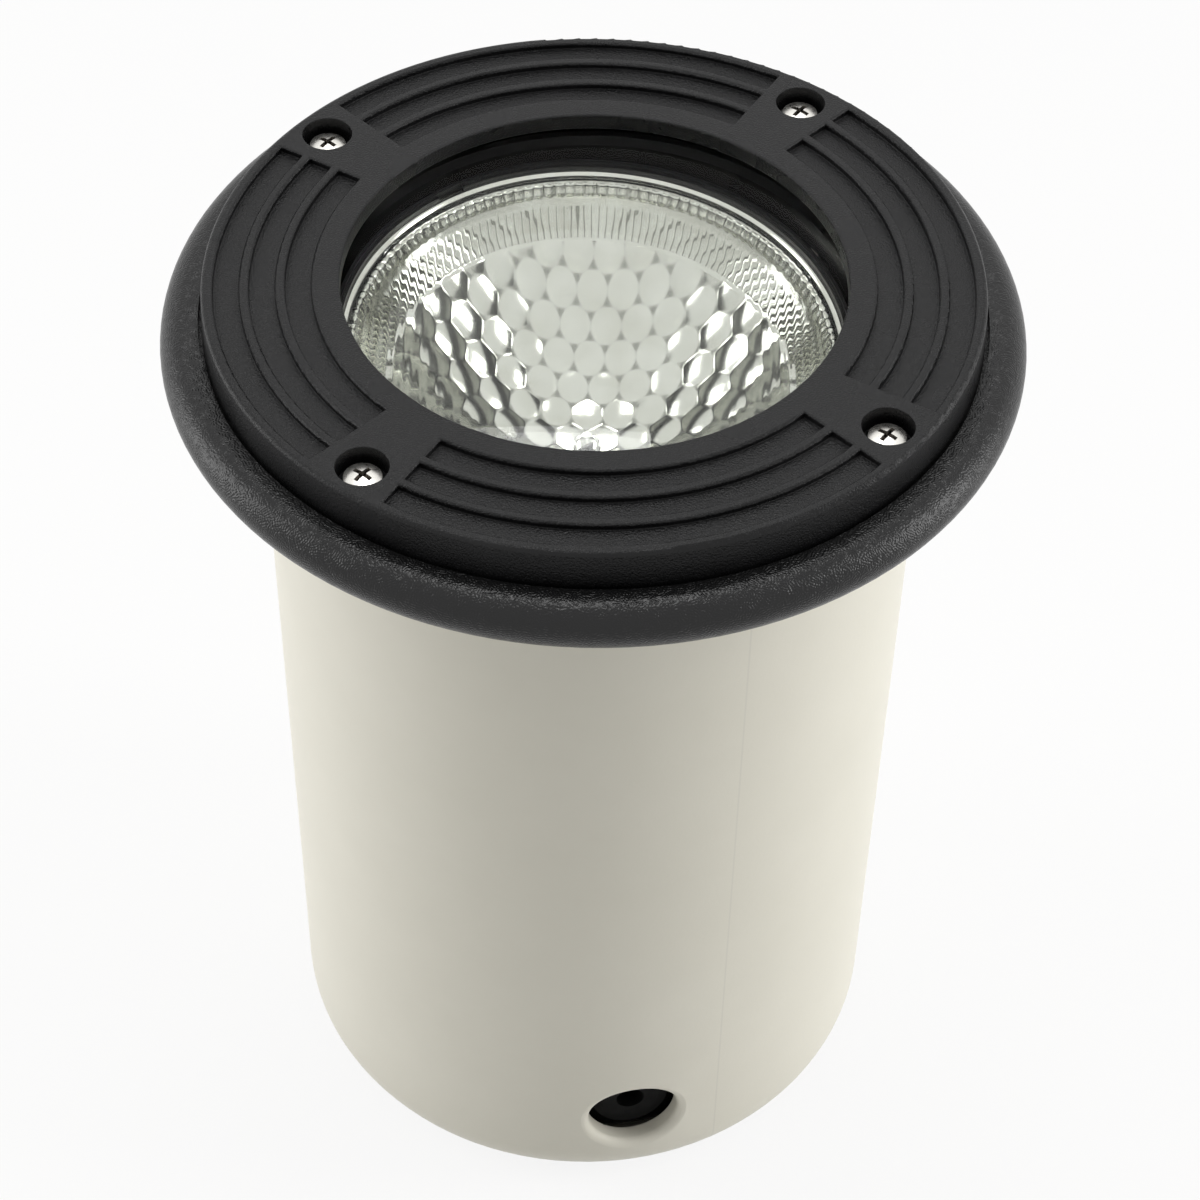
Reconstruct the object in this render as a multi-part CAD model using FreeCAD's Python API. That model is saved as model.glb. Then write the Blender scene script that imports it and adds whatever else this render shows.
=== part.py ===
"""In-ground well light: a sealed reflector lamp on a pan-and-tilt yoke inside a buried sleeve.

All lengths are millimetres. The origin is the centre of the sleeve's base, +Z is up, and the
cable entry faces -Y. Depths are measured down from the top face of the lid. Radii in the lamp
well start from the lamp and grow outwards, so each piece follows the one that it surrounds.
"""
import FreeCAD
import Part
import math
import os

# ---------------------------------------------------------------- whole object
overall_height = 240.0      # top face of the lid to the foot of the sleeve

# ---------------------------------------------------------------- lamp
lamp_rim_radius = 56.4      # outer edge of the lamp's rolled rim
lamp_rim_cover = 0.8        # how far the snap ring covers that rim
lamp_rim_width = 1.5        # bright rim left in view inside the snap ring
lamp_rim_thickness = 2.0
lamp_rim_depth = 19.9       # lid top down to the rim's upper face, lamp level
lamp_shell = 1.8            # wall of the reflector
reflector_depth = 39.0      # rim's upper face down to the bottom of the bowl
reflector_mouth_depth = 3.0
reflector_mouth_inset = 0.8 # ledge that carries the lens
bowl_middle = 0.62          # where the middle point of the bowl's curve lies
lens_thickness = 2.6
lens_crown = 5.0            # rise of the lens centre over its edge
lens_seat_gap = 0.2
lens_edge_band = 3.0
bowl_flat_radius = 6.6      # flat at the bottom of the bowl, round the capsule
lamp_neck_radius = 11.0
lamp_neck_length = 9.0
capsule_radius = 3.2
capsule_height = 8.0        # short, so the bowl's edge hides it from the side
capsule_wall = 0.6
capsule_base = 2.0          # solid glass at the foot of the capsule
filament_height = 4.6       # over the bottom of the bowl
filament_radius = 0.5
filament_length = 2.4
post_radius = 0.3
insulator_radius = 13.0
insulator_thickness = 4.0
barrier_half_width = 1.0
barrier_height = 5.0
terminal_spacing = 14.0
terminal_screw_radius = 1.5
terminal_head_radius = 3.4
terminal_head_height = 2.4
terminal_plate_width = 7.6
terminal_plate_thickness = 0.8

# ---------------------------------------------------------------- gimbal and yoke
gimbal_wall = 0.8
gimbal_side_gap = 0.2
gimbal_seat_width = 1.1
gimbal_top_rise = 1.4       # gimbal wall over the lamp's rim
gimbal_skirt = 9.0          # gimbal wall below the lamp's rim plane
snap_ring_height = 0.9
snap_ring_split_deg = 7.0
pivot_below_rim = 4.6
pivot_boss_radius = 3.9
pivot_boss_length = 2.0
pivot_washer_thickness = 1.0
pivot_screw_radius = 1.5
pivot_hole_gap = 0.05
pivot_head_radius = 2.9
pivot_head_height = 1.5
pivot_head_sink = 0.2
yoke_arm_thickness = 2.4
yoke_arm_half_width = 4.7
yoke_ring_height = 5.0
yoke_ring_inset = 1.2       # ring reaches this far inside the arms
yoke_ring_depth = 59.0      # lid top down to the ring's lower face
yoke_wall_gap = 0.6
pan_at_rest_deg = 26.0      # where the tilt axis points
tilt_at_rest_deg = 3.6      # the lamp leans like this as it stands
glide_ring_thickness = 1.0

# ---------------------------------------------------------------- well, bezel and glass
bezel_gap = 1.6             # lamp rim to the bezel's throat
bezel_wall = 3.2
bezel_chamfer_width = 1.0
bezel_chamfer_height = 2.0
bezel_over_lamp = 0.7       # the throat ends this far above the lamp's rim
bezel_flange_thickness = 1.5
bezel_flange_depth = 11.5
seal_thickness = 0.8
canister_flange_thickness = 2.0
canister_wall = 2.4
canister_floor = 2.8
canister_bottom_gap = 7.0   # canister's foot to the sleeve's floor
canister_corner_radius = 5.0
ledge_width = 3.4
ledge_height = 3.0
flange_width = 5.8          # flanges beyond the canister's wall
cement_gap = 0.05           # cement line between the canister and its flange ring
lug_radius = 5.2
lug_reach = 5.2             # lug centre beyond the flange's edge
lug_gap = 0.3
glass_thickness = 4.0
glass_edge_gap = 3.0        # glass edge beyond the chamfer's top
gasket_wall = 1.4
gasket_upper_lip = 1.0
gasket_lower_lip = 1.4
gasket_recess_gap = 0.2

# ---------------------------------------------------------------- lid
lid_overhang = 3.3          # lid's inner lip inside the bezel's throat
lid_lip_thickness = 3.8
lid_height = 11.0
lid_plate_thickness = 4.2
lid_inner_wall = 2.4
lid_outer_wall = 3.4
lid_edge_round = 1.0
lid_opening_round = 0.5
lid_draft = 0.4
lid_inner_band = 6.1        # flat band from the opening to the first pocket
pocket_width = 5.5
pocket_land = 2.2
pocket_depth = 1.5
pocket_edge_round = 0.55    # soft upper edges of the ribs between the pockets
pocket_count = 3
lid_outer_land = 2.6
pad_half_angle_deg = 6.9    # half of each flat pad between the pockets
lid_clock_deg = -3.0        # the lid is turned this much from the cable entry
lid_rib_thickness = 1.8
lid_rib_gap = 0.6
lid_boss_radius = 7.4
counterbore_radius = 5.6
counterbore_depth = 5.2

# ---------------------------------------------------------------- fasteners
lid_screw_count = 4
lid_screw_radius = 2.0
lid_screw_length = 10.0
lid_screw_head_radius = 4.0
lid_screw_head_height = 2.6
lid_screw_head_dome = 0.8
lid_screw_hole_gap = 0.3
screw_seal_thickness = 0.5
screw_seal_radius = 4.4
insert_wall = 0.7
insert_length = 5.2
insert_bore_gap = 0.05
recess_width = 1.0
recess_span = 4.4
recess_depth = 1.5
bezel_screw_radius = 1.5
bezel_screw_length = 7.2
bezel_screw_head_radius = 2.9
bezel_screw_head_height = 1.2
bezel_screw_hole_gap = 0.2
bezel_screw_pilot_floor = 0.8
slot_half_width = 0.35      # driver slots of the small screws
slot_depth = 0.7

# ---------------------------------------------------------------- collar
collar_lid_gap = 0.8
collar_crest_width = 2.8
collar_crest_depth = 8.7
bullnose_radius = 5.7
socket_depth = 17.4         # lid top down to the sleeve's rim
socket_gap = 0.15
collar_bore_gap = 0.6
socket_inner_wall = 2.1
core_top_depth = 14.4
core_inset = 0.2            # core pockets end this far inside the bullnose's centre
core_width = 6.0
core_count = 12
core_rib = 3.0

# ---------------------------------------------------------------- sleeve and cable entry
sleeve_wall = 5.0
sleeve_draft = 1.0          # the foot is this much smaller in radius than the rim
sleeve_floor = 5.0
sleeve_edge_radius = 13.0
drain_radius = 50.0
entry_radius = 11.1
entry_edge_round = 1.9
entry_over_foot = 2.9       # straight wall between the foot's curve and the cable entry
grommet_bore = 3.5
grommet_core = 7.2
grommet_flange = 9.4
grommet_flange_thickness = 0.7
grommet_core_reach = 0.8    # core beyond the inner flange

# ---------------------------------------------------------------- sizes that follow
snap_inner_radius = lamp_rim_radius - lamp_rim_cover
lens_radius = snap_inner_radius - lamp_rim_width - lens_seat_gap
gimbal_inner_radius = lamp_rim_radius + gimbal_side_gap
gimbal_outer_radius = gimbal_inner_radius + gimbal_wall
pivot_depth = lamp_rim_depth + pivot_below_rim
boss_end_radius = gimbal_outer_radius + pivot_boss_length
arm_inner_radius = boss_end_radius + pivot_washer_thickness + 0.2
arm_outer_radius = arm_inner_radius + yoke_arm_thickness
pivot_face_radius = arm_outer_radius - pivot_head_sink
canister_inner_radius = arm_outer_radius + yoke_wall_gap
canister_outer_radius = canister_inner_radius + canister_wall
throat_radius = lamp_rim_radius + bezel_gap
bezel_throat_bottom = lamp_rim_depth - bezel_over_lamp
bezel_top_radius = throat_radius + bezel_chamfer_width
bezel_outer_radius = throat_radius + bezel_wall
flange_radius = canister_outer_radius + flange_width
lug_centre_radius = flange_radius + lug_reach
opening_radius = throat_radius - lid_overhang
glass_radius = bezel_top_radius + glass_edge_gap
gasket_radius = glass_radius + gasket_wall
recess_radius = gasket_radius + gasket_recess_gap
first_pocket_radius = opening_radius + lid_inner_band
pockets_end_radius = (first_pocket_radius + pocket_count * pocket_width
                      + (pocket_count - 1) * pocket_land)
lid_radius = pockets_end_radius + lid_outer_land
lid_foot_radius = lid_radius + lid_draft
screw_circle_radius = pockets_end_radius - pocket_width
crest_inner_radius = lid_foot_radius + collar_lid_gap
bullnose_centre_radius = crest_inner_radius + collar_crest_width
collar_radius = bullnose_centre_radius + bullnose_radius
collar_bottom_depth = collar_crest_depth + 2 * bullnose_radius
glass_bottom_depth = lid_lip_thickness + gasket_upper_lip + glass_thickness
bezel_top_depth = glass_bottom_depth + gasket_lower_lip
flange_top_depth = bezel_flange_depth + bezel_flange_thickness + seal_thickness
canister_seat_depth = flange_top_depth + canister_flange_thickness
collar_bore_radius = canister_outer_radius + collar_bore_gap
sleeve_inner_radius = collar_bore_radius + socket_inner_wall
sleeve_radius = sleeve_inner_radius + sleeve_wall
sleeve_foot_radius = sleeve_radius - sleeve_draft
canister_foot = sleeve_floor + canister_bottom_gap
entry_height = sleeve_edge_radius + entry_over_foot + entry_radius
ledge_depth = yoke_ring_depth + glide_ring_thickness

UP = FreeCAD.Vector(0, 0, 1)
ORIGIN = FreeCAD.Vector(0, 0, 0)
QUARTERS = [0, 90, 180, 270]


def below(depth):
    """Height over the base of a depth below the lid's top face."""
    return overall_height - depth


def lathe(*path, sweep=360.0, start=0.0):
    """Revolve a closed outline about Z. A pair (r, z) is a corner; (rm, zm, r, z) is an arc."""
    points = [FreeCAD.Vector(step[-2], 0, step[-1]) for step in path]
    edges = []
    for index, step in enumerate(path):
        before = points[index - 1]
        here = points[index]
        if len(step) == 4:
            middle = FreeCAD.Vector(step[0], 0, step[1])
            edges.append(Part.Arc(before, middle, here).toShape())
        elif before.distanceToPoint(here) > 1e-6:
            edges.append(Part.LineSegment(before, here).toShape())
    face = Part.Face(Part.Wire(Part.__sortEdges__(edges)))
    solid = face.revolve(ORIGIN, UP, sweep)
    solid.rotate(ORIGIN, UP, start)
    return solid


def ring(inner, outer, low, high, sweep=360.0, start=0.0):
    """A flat ring, or a sector of one, between two heights."""
    return lathe((inner, low), (outer, low), (outer, high), (inner, high), sweep=sweep, start=start)


def corner(centre_r, centre_z, radius, to_angle, from_angle):
    """An arc step for lathe, round a centre, ending at to_angle (degrees in the r-z plane)."""
    middle = math.radians((to_angle + from_angle) / 2)
    end = math.radians(to_angle)
    return (centre_r + radius * math.cos(middle), centre_z + radius * math.sin(middle),
            centre_r + radius * math.cos(end), centre_z + radius * math.sin(end))


def post(radius, x, y, low, high):
    """An upright cylinder."""
    return Part.makeCylinder(radius, high - low, FreeCAD.Vector(x, y, low), UP)


def radial_rod(radius, inner, outer, z):
    """A cylinder along +X from one distance off the axis to another."""
    return Part.makeCylinder(radius, outer - inner, FreeCAD.Vector(inner, 0, z), FreeCAD.Vector(1, 0, 0))


def block(x0, x1, y0, y1, z0, z1):
    """A box by its corners."""
    return Part.makeBox(x1 - x0, y1 - y0, z1 - z0, FreeCAD.Vector(x0, y0, z0))


def turned(shape, degrees):
    """A copy turned about Z."""
    copy = shape.copy()
    copy.rotate(ORIGIN, UP, degrees)
    return copy


def around(shape, angles):
    """Copies of a shape at several angles about Z."""
    return [turned(shape, angle) for angle in angles]


def pad_angles():
    """Directions of the lid screws."""
    return [lid_clock_deg + 45 + 360 / lid_screw_count * n for n in range(lid_screw_count)]


def lug_angles():
    """Directions of the bezel screws, midway between the lid screws."""
    return [angle + 45 for angle in pad_angles()]


# ---------------------------------------------------------------- housing
def ground_sleeve():
    """Off-white buried sleeve: slight draft, round foot, open drain and one cable entry."""
    r_out = sleeve_edge_radius
    r_in = sleeve_edge_radius - sleeve_wall
    outer_corner = sleeve_foot_radius - r_out
    inner_foot = sleeve_foot_radius - sleeve_wall
    body = lathe((drain_radius, 0), (outer_corner, 0),
                 corner(outer_corner, r_out, r_out, 0, -90),
                 (sleeve_radius, below(socket_depth)),
                 (sleeve_inner_radius, below(socket_depth)),
                 (inner_foot, sleeve_floor + r_in),
                 corner(inner_foot - r_in, sleeve_floor + r_in, r_in, -90, 0),
                 (drain_radius, sleeve_floor))
    entry = radial_rod(entry_radius, 0, collar_radius, entry_height)
    entry.rotate(ORIGIN, UP, -90)
    body = body.cut(entry)
    rim = [edge for edge in body.Edges if is_entry_rim(edge)]
    return body.makeFillet(entry_edge_round, rim)


def is_entry_rim(edge):
    """True for the outer edge of the cable entry."""
    box = edge.BoundBox
    as_wide = abs(box.XLength - 2 * entry_radius) < 0.5
    as_high = abs(box.ZLength - 2 * entry_radius) < 0.5
    outside = box.YMax < -sleeve_foot_radius + sleeve_wall / 2
    return as_wide and as_high and outside


def collar_outline():
    """Section of the collar: lid seat, crest, bullnose and the socket for the sleeve's rim."""
    crest = below(collar_crest_depth)
    bottom = below(collar_bottom_depth)
    nose_z = crest - bullnose_radius
    seat = below(lid_height)
    canister_seat = below(canister_seat_depth)
    socket_top = below(socket_depth)
    recess = flange_radius + lug_gap
    return lathe((collar_bore_radius, canister_seat), (recess, canister_seat), (recess, seat),
                 (crest_inner_radius, seat), (crest_inner_radius, crest), (bullnose_centre_radius, crest),
                 corner(bullnose_centre_radius, nose_z, bullnose_radius, -90, 90),
                 (sleeve_radius + socket_gap, bottom), (sleeve_radius + socket_gap, socket_top),
                 (sleeve_inner_radius - socket_gap, socket_top),
                 (sleeve_inner_radius - socket_gap, bottom), (collar_bore_radius, bottom))


def collar_cores():
    """Pockets that core out the underside of the collar, with ribs left between them."""
    outer = bullnose_centre_radius - core_inset
    inner = outer - core_width
    rib_deg = math.degrees(core_rib / inner)
    step = 360 / core_count
    core = ring(inner, outer, below(collar_bottom_depth) - 1, below(core_top_depth),
                sweep=step - rib_deg, start=rib_deg / 2)
    return around(core, [lid_clock_deg + step * n for n in range(core_count)])


def mounting_collar():
    """Black collar with a bullnose edge, cemented on the sleeve; it carries everything else."""
    body = collar_outline()
    cuts = collar_cores()
    seat = below(canister_seat_depth)
    pilot_foot = below(collar_bottom_depth) + bezel_screw_pilot_floor
    for angle in lug_angles():
        pocket = lug_plate(seat, below(lid_height) + 1, lug_gap)
        pilot = post(bezel_screw_radius, lug_centre_radius, 0, pilot_foot, seat)
        cuts += around(pocket, [angle]) + around(pilot, [angle])
    hole_bottom = below(lid_height + insert_length)
    insert_hole = post(lid_screw_radius + insert_bore_gap + insert_wall, screw_circle_radius, 0,
                       hole_bottom, below(lid_height))
    cuts += around(insert_hole, pad_angles())
    return body.cut(cuts)


def lug_plate(low, high, extra=0.0):
    """A rounded lug along +X that carries one bezel screw."""
    radius = lug_radius + extra
    tab = block(flange_radius - 2, lug_centre_radius, -radius, radius, low, high)
    return tab.fuse(post(radius, lug_centre_radius, 0, low, high)).removeSplitter()


def lamp_canister():
    """Black watertight well: straight wall, ledge for the yoke, and a closed floor."""
    top = below(flange_top_depth)
    ledge = below(ledge_depth)
    r_out = canister_corner_radius
    r_in = canister_corner_radius - canister_wall
    corner_r = canister_outer_radius - r_out
    floor = canister_foot + canister_floor
    ledge_r = canister_inner_radius - ledge_width
    body = lathe((canister_inner_radius, top), (canister_outer_radius, top),
                 (canister_outer_radius, canister_foot + r_out),
                 corner(corner_r, canister_foot + r_out, r_out, -90, 0),
                 (0, canister_foot), (0, floor), (canister_inner_radius - r_in, floor),
                 corner(canister_inner_radius - r_in, floor + r_in, r_in, 0, -90),
                 (canister_inner_radius, ledge - ledge_height - ledge_width),
                 (ledge_r, ledge - ledge_height), (ledge_r, ledge), (canister_inner_radius, ledge))
    entry = radial_rod(grommet_core, 0, canister_outer_radius + 5, entry_height)
    return body.cut(around(entry, [-90]))


def canister_flange():
    """Ring cemented round the canister's rim, with the lugs that hang it in the collar."""
    top = below(flange_top_depth)
    seat = below(canister_seat_depth)
    body = ring(canister_outer_radius + cement_gap, flange_radius, seat, top)
    body = body.fuse(around(lug_plate(seat, top), lug_angles())).removeSplitter()
    hole = post(bezel_screw_radius + bezel_screw_hole_gap, lug_centre_radius, 0, seat, top)
    return body.cut(around(hole, lug_angles()))


def inner_bezel():
    """Black throat ring round the lamp; the glass gasket seats on its rim."""
    rim = below(bezel_top_depth)
    chamfer = below(bezel_top_depth + bezel_chamfer_height)
    high = below(bezel_flange_depth)
    low = below(bezel_flange_depth + bezel_flange_thickness)
    bottom = below(bezel_throat_bottom)
    body = lathe((bezel_top_radius, rim), (bezel_outer_radius, rim), (bezel_outer_radius, high),
                 (flange_radius, high), (flange_radius, low), (bezel_outer_radius, low),
                 (bezel_outer_radius - 1, bottom), (throat_radius, bottom), (throat_radius, chamfer))
    body = body.fuse(around(lug_plate(low, high), lug_angles())).removeSplitter()
    hole = post(bezel_screw_radius + bezel_screw_hole_gap, lug_centre_radius, 0, low, high)
    sink = Part.makeCone(bezel_screw_radius + bezel_screw_hole_gap, bezel_screw_head_radius + 0.1,
                         bezel_screw_head_height,
                         FreeCAD.Vector(lug_centre_radius, 0, high - bezel_screw_head_height), UP)
    return body.cut(around(hole, lug_angles()) + around(sink, lug_angles()))


def bezel_seal():
    """Flat gasket between the bezel and the canister's flange, inside the screws."""
    low = below(flange_top_depth)
    return ring(canister_inner_radius, flange_radius, low, low + seal_thickness)


def glide_ring():
    """Low-friction ring on the canister's ledge, under the yoke."""
    low = below(ledge_depth)
    gap = 0.3
    return ring(canister_inner_radius - ledge_width, canister_inner_radius - gap, low,
                low + glide_ring_thickness)


def cable_grommet():
    """Rubber grommet in the canister's wall, in line with the sleeve's cable entry."""
    core_start = canister_inner_radius - grommet_flange_thickness - grommet_core_reach
    core_end = canister_outer_radius + grommet_flange_thickness - 0.1
    core = radial_rod(grommet_core, core_start, core_end, entry_height)
    flange = radial_rod(grommet_flange, canister_inner_radius - 4, canister_outer_radius + 4, entry_height)
    low = entry_height - grommet_flange - 1
    high = entry_height + grommet_flange + 1
    outside = flange.common(ring(canister_outer_radius, canister_outer_radius + grommet_flange_thickness,
                                 low, high))
    inside = flange.common(ring(canister_inner_radius - grommet_flange_thickness, canister_inner_radius,
                                low, high))
    body = core.fuse([outside, inside]).removeSplitter()
    bore = radial_rod(grommet_bore, 0, canister_outer_radius + 10, entry_height)
    return turned(body.cut(bore), -90)


# ---------------------------------------------------------------- lid
def lid_ribs():
    """Radial ribs under the lid, two between each pair of screw bosses."""
    high = below(lid_plate_thickness)
    low = below(lid_height - lid_rib_gap)
    half = lid_rib_thickness / 2
    rib = block(recess_radius + 1, lid_radius - 1, -half, half, low, high)
    step = 360 / lid_screw_count / 3
    angles = [pad + step * n for pad in pad_angles() for n in (1, 2)]
    return around(rib, angles)


def lid_pockets():
    """Rings of shallow pockets in the top face, broken by a flat pad at each screw."""
    sweep = 360 / lid_screw_count - 2 * pad_half_angle_deg
    cuts = []
    for row in range(pocket_count):
        inner = first_pocket_radius + row * (pocket_width + pocket_land)
        pocket = ring(inner, inner + pocket_width, below(pocket_depth), overall_height + 1, sweep=sweep)
        cuts += around(pocket, [pad + pad_half_angle_deg for pad in pad_angles()])
    return cuts


def lid_ring():
    """Black screw-down lid with ribbed top, four counterbores and a cored underside."""
    top = overall_height
    foot = below(lid_height)
    lip = below(lid_lip_thickness)
    plate = below(lid_plate_thickness)
    edge_r = lid_radius - lid_edge_round
    edge_z = top - lid_edge_round
    lip_r = opening_radius + lid_opening_round
    inner_wall = recess_radius + lid_inner_wall
    core_r = lid_foot_radius - lid_outer_wall
    body = lathe((lip_r, top), (edge_r, top),
                 corner(edge_r, edge_z, lid_edge_round, 0, 90),
                 (lid_foot_radius, foot), (core_r, foot), (core_r, plate), (inner_wall, plate),
                 (inner_wall, foot), (recess_radius, foot), (recess_radius, lip), (opening_radius, lip),
                 (opening_radius, top - lid_opening_round),
                 corner(lip_r, top - lid_opening_round, lid_opening_round, 90, 180))
    boss = post(lid_boss_radius, screw_circle_radius, 0, foot, plate)
    boss = boss.common(ring(recess_radius + 1, lid_radius - 1, foot, plate))
    body = body.fuse(lid_ribs() + around(boss, pad_angles())).removeSplitter()
    bore = post(counterbore_radius, screw_circle_radius, 0, below(counterbore_depth), top + 1)
    hole = post(lid_screw_radius + lid_screw_hole_gap, screw_circle_radius, 0, foot - 1, top)
    body = body.cut(lid_pockets())
    body = body.makeFillet(pocket_edge_round, [edge for edge in body.Edges if is_pocket_rim(edge)])
    return body.cut(around(bore, pad_angles()) + around(hole, pad_angles()))


def is_pocket_rim(edge):
    """True for the upper edges of the pockets, which all lie in the lid's top face."""
    box = edge.BoundBox
    flat = box.ZLength < 0.01 and abs(box.ZMax - overall_height) < 0.01
    reach = [math.hypot(vertex.X, vertex.Y) for vertex in edge.Vertexes]
    return flat and min(reach) > first_pocket_radius - 0.1 and max(reach) < pockets_end_radius + 0.1


def cover_glass():
    """Clear flat glass with ground edges."""
    high = below(lid_lip_thickness + gasket_upper_lip)
    low = below(glass_bottom_depth)
    bevel = 0.5
    return lathe((0, low), (glass_radius - bevel, low), (glass_radius, low + bevel),
                 (glass_radius, high - bevel), (glass_radius - bevel, high), (0, high))


def glass_gasket():
    """Rubber channel wrapped round the edge of the glass."""
    top = below(lid_lip_thickness)
    bottom = below(bezel_top_depth)
    high = top - gasket_upper_lip
    low = bottom + gasket_lower_lip
    lip = bezel_top_radius
    return lathe((lip, bottom), (gasket_radius, bottom), (gasket_radius, top), (lip, top), (lip, high),
                 (glass_radius, high), (glass_radius, low), (lip, low))


# ---------------------------------------------------------------- fasteners
def cross_recess(head_top, depth, width, span):
    """The cutter for a cross recess."""
    long_slot = block(-span / 2, span / 2, -width / 2, width / 2, head_top - depth, head_top + 5)
    return long_slot.fuse(turned(long_slot, 90)).removeSplitter()


def lid_screw():
    """Stainless pan-head screw on the Z axis, cross recess turned as it was left."""
    seat = below(counterbore_depth - screw_seal_thickness)
    top = seat + lid_screw_head_height
    side_top = top - lid_screw_head_dome
    shoulder = chord_middle(lid_screw_head_radius, lid_screw_head_dome)
    head = lathe((0, seat), (lid_screw_head_radius, seat), (lid_screw_head_radius, side_top),
                 (shoulder[0], side_top + shoulder[1], 0, top))
    shank = post(lid_screw_radius, 0, 0, seat - lid_screw_length, seat)
    body = head.fuse(shank).removeSplitter()
    return body.cut(cross_recess(top, recess_depth, recess_width, recess_span))


def placed_at_pads(shape):
    """Copies of a piece on the lid's screw circle."""
    piece = shape.copy()
    piece.translate(FreeCAD.Vector(screw_circle_radius, 0, 0))
    return around(piece, pad_angles())


def screw_seal():
    """Sealing washer under a lid screw's head."""
    low = below(counterbore_depth)
    return ring(lid_screw_radius + 0.05, screw_seal_radius, low, low + screw_seal_thickness)


def threaded_insert():
    """Brass insert pressed in the collar for one lid screw."""
    bore = lid_screw_radius + insert_bore_gap
    return ring(bore, bore + insert_wall, below(lid_height + insert_length), below(lid_height))


def bezel_screw():
    """Countersunk screw that clamps bezel, seal and canister on the collar."""
    top = below(bezel_flange_depth)
    head = Part.makeCone(bezel_screw_radius, bezel_screw_head_radius, bezel_screw_head_height,
                         FreeCAD.Vector(0, 0, top - bezel_screw_head_height), UP)
    shank = post(bezel_screw_radius, 0, 0, top - bezel_screw_length, top - bezel_screw_head_height)
    body = head.fuse(shank).removeSplitter()
    half = bezel_screw_head_radius
    body = body.cut(block(-half, half, -slot_half_width, slot_half_width, top - slot_depth, top + 1))
    body.translate(FreeCAD.Vector(lug_centre_radius, 0, 0))
    return body


# ---------------------------------------------------------------- yoke
def yoke():
    """Ring that turns on the ledge, with two arms that carry the pivots."""
    low = below(yoke_ring_depth)
    body = ring(arm_inner_radius - yoke_ring_inset, arm_outer_radius, low, low + yoke_ring_height)
    pivot = below(pivot_depth)
    shell = ring(arm_inner_radius, arm_outer_radius, low, pivot + yoke_arm_half_width)
    blade = block(0, arm_outer_radius + 1, -yoke_arm_half_width, yoke_arm_half_width, low, pivot)
    blade = blade.fuse(radial_rod(yoke_arm_half_width, 0, arm_outer_radius + 1, pivot))
    arm = shell.common(blade)
    body = body.fuse(around(arm, [0, 180])).removeSplitter()
    hole = radial_rod(pivot_screw_radius + pivot_hole_gap, 0, arm_outer_radius + 1, pivot)
    mouth = radial_rod(pivot_head_radius + pivot_hole_gap, pivot_face_radius, arm_outer_radius + 1, pivot)
    sink = pivot_head(pivot_hole_gap).fuse(mouth)
    return body.cut(around(hole, [0, 180]) + around(sink, [0, 180]))


def pivot_head(gap):
    """Countersunk head of a pivot screw along +X, or its seat when grown by a gap."""
    return Part.makeCone(pivot_screw_radius + gap, pivot_head_radius + gap, pivot_head_height,
                         FreeCAD.Vector(pivot_face_radius - pivot_head_height, 0, below(pivot_depth)),
                         FreeCAD.Vector(1, 0, 0))


def pivot_washer():
    """Nylon friction washer between a gimbal boss and its arm, along +X."""
    pivot = below(pivot_depth)
    body = radial_rod(pivot_boss_radius, boss_end_radius, boss_end_radius + pivot_washer_thickness, pivot)
    return body.cut(radial_rod(pivot_screw_radius + pivot_hole_gap, 0, arm_outer_radius, pivot))


def pivot_screw():
    """Countersunk pivot screw through one arm into the gimbal boss, along +X."""
    pivot = below(pivot_depth)
    tip = gimbal_outer_radius + 0.2
    face = pivot_face_radius
    shank = radial_rod(pivot_screw_radius, tip, face - pivot_head_height, pivot)
    slot = block(face - slot_depth, face + 1, -pivot_head_radius, pivot_head_radius,
                 pivot - slot_half_width, pivot + slot_half_width)
    return shank.fuse(pivot_head(0)).removeSplitter().cut(slot)


# ---------------------------------------------------------------- lamp
def gimbal_ring():
    """Pressed ring that holds the lamp's rim, with a boss for each pivot."""
    rim = below(lamp_rim_depth)
    seat = rim - lamp_rim_thickness
    top = rim + gimbal_top_rise
    skirt = rim - gimbal_skirt
    pivot = below(pivot_depth)
    inner = gimbal_inner_radius - gimbal_side_gap - gimbal_seat_width
    body = lathe((gimbal_inner_radius, top), (gimbal_outer_radius, top), (gimbal_outer_radius, skirt),
                 (gimbal_inner_radius, skirt), (gimbal_inner_radius, seat - gimbal_wall),
                 (inner, seat - gimbal_wall), (inner, seat), (gimbal_inner_radius, seat))
    boss = radial_rod(pivot_boss_radius, gimbal_inner_radius - 0.4, boss_end_radius, pivot)
    boss = boss.cut(post(gimbal_inner_radius, 0, 0, skirt - 5, top + 5))
    body = body.fuse(around(boss, [0, 180])).removeSplitter()
    hole = radial_rod(pivot_screw_radius, gimbal_outer_radius, arm_outer_radius, pivot)
    return body.cut(around(hole, [0, 180]))


def snap_ring():
    """Split wire ring that keeps the lamp's rim down in the gimbal."""
    rim = below(lamp_rim_depth)
    return ring(snap_inner_radius, gimbal_inner_radius, rim, rim + snap_ring_height,
                sweep=360 - snap_ring_split_deg, start=90 + snap_ring_split_deg / 2)


def bowl_points(offset):
    """Mouth, middle and bottom of the paraboloid, moved outwards by a wall."""
    rim = below(lamp_rim_depth)
    mouth_r = lens_radius - reflector_mouth_inset
    depth = reflector_depth - reflector_mouth_depth
    mid_r = mouth_r * bowl_middle
    mid_z = rim - reflector_mouth_depth - depth * (1 - bowl_middle ** 2)
    slant = offset * math.sqrt(0.5)
    return [(mouth_r + offset, rim - reflector_mouth_depth), (mid_r + slant, mid_z - slant)]


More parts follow.
